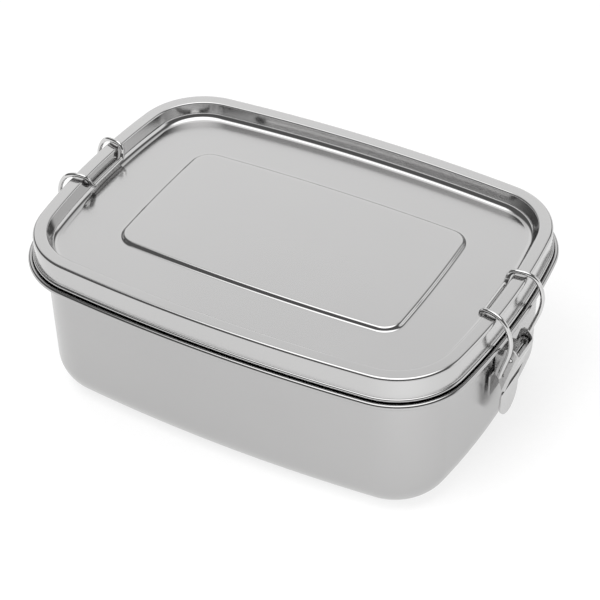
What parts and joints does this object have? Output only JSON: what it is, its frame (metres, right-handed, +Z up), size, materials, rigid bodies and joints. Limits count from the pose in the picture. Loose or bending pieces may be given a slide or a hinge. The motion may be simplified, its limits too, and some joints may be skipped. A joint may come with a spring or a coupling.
{
  "type": "lunch box",
  "caption": "Rectangular stainless steel lunch box with a recessed lift-off lid held down by a wire bail latch on each short end.",
  "frame": {"origin": "centre of the bounding box on the floor, under the middle of the tub", "axes": "+X along the length towards one latch, +Z up out of the lid"},
  "size_m": [0.1988, 0.1374, 0.0754],
  "materials": {
    "tub_steel": "satin deep drawn stainless steel",
    "lid_steel": "satin pressed stainless steel with bright edges",
    "latch_steel": "tumbled stamped stainless steel",
    "wire_steel": "bright drawn stainless wire",
    "seal_silicone": "matte translucent white silicone"
  },
  "bodies": {
    "tub": {"tub": "tub_steel", "bracket_right": "latch_steel", "bracket_left": "latch_steel"},
    "lid": {"lid": "lid_steel", "lid_seal": "seal_silicone"},
    "lever_right": {"lever_right": "latch_steel", "pivot_pin_right": "wire_steel"},
    "bail_right": {"bail_right": "wire_steel"},
    "lever_left": {"lever_left": "latch_steel", "pivot_pin_left": "wire_steel"},
    "bail_left": {"bail_left": "wire_steel"}
  },
  "joints": [
    {"name": "lid_lift", "type": "slide", "parent": "tub", "child": "lid", "axis": [0, 0, 1], "range_m": [0, 0.09]},
    {"name": "lever_right_turn", "type": "hinge", "parent": "tub", "child": "lever_right", "pos_m": [0.0956, 0, 0.049], "axis": [0, -1, 0], "range_deg": [0, 150]},
    {"name": "bail_right_swing", "type": "hinge", "parent": "lever_right", "child": "bail_right", "pos_m": [0.0924, 0, 0.0406], "axis": [0, -1, 0], "range_deg": [-270, 0], "deforming": ["bail_right"]},
    {"name": "lever_left_turn", "type": "hinge", "parent": "tub", "child": "lever_left", "pos_m": [-0.0956, 0, 0.049], "axis": [0, 1, 0], "range_deg": [0, 150]},
    {"name": "bail_left_swing", "type": "hinge", "parent": "lever_left", "child": "bail_left", "pos_m": [-0.0924, 0, 0.0406], "axis": [0, 1, 0], "range_deg": [-270, 0], "deforming": ["bail_left"]}
  ],
  "couplings": [
    {"joint": "bail_right_swing", "follows": "lever_right_turn", "ratio": -1.8},
    {"joint": "bail_left_swing", "follows": "lever_left_turn", "ratio": -1.8}
  ]
}
